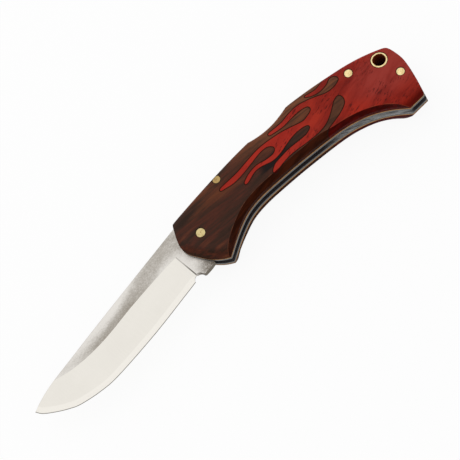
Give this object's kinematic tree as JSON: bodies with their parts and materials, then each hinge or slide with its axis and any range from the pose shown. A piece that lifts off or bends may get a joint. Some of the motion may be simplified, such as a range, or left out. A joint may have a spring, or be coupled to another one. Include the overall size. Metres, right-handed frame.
{
  "type": "folding pocket knife",
  "caption": "Folding pocket knife with a drop-point blade, back lock, steel liners, brass pins and a two-wood handle with a lanyard tube.",
  "frame": {"origin": "pivot axis, in the plane of the handle's far face, on which the open knife rests", "axes": "+X from the pivot to the butt, +Y from the belly to the spine, +Z from the far face to the near face"},
  "size_m": [0.1893, 0.041, 0.0149],
  "materials": {
    "blade_steel": "satin",
    "liner_steel": "matt ground",
    "spring_steel": "ground",
    "brass": "polished",
    "dark_wood": "oiled, semi-gloss",
    "red_wood": "dyed, semi-gloss"
  },
  "bodies": {
    "handle": {"near_washer": "brass", "far_washer": "brass", "leaf_spring": "spring_steel", "back_spacer": "liner_steel", "near_liner": "liner_steel", "far_liner": "liner_steel", "near_brass_shim": "brass", "far_brass_shim": "brass", "near_front_scale": "dark_wood", "near_flame_scale": "red_wood", "far_front_scale": "dark_wood", "far_flame_scale": "red_wood", "pivot_pin": "brass", "rocker_pin": "brass", "spacer_pin": "brass", "butt_pin": "brass", "lanyard_tube": "brass"},
    "blade": {"blade": "blade_steel"},
    "lock_bar": {"lock_bar": "liner_steel"}
  },
  "joints": [
    {"name": "blade_pivot", "type": "hinge", "parent": "handle", "child": "blade", "pos_m": [0, 0, 0], "axis": [0, 0, 1], "range_deg": [0, 172]},
    {"name": "lock_bar_rock", "type": "hinge", "parent": "handle", "child": "lock_bar", "pos_m": [0.017, 0.0132, 0], "axis": [0, 0, -1], "range_deg": [0, 3.2], "stiffness_Nm_per_rad": 0.5, "springref_deg": -11.46, "deforming": ["leaf_spring"]}
  ]
}
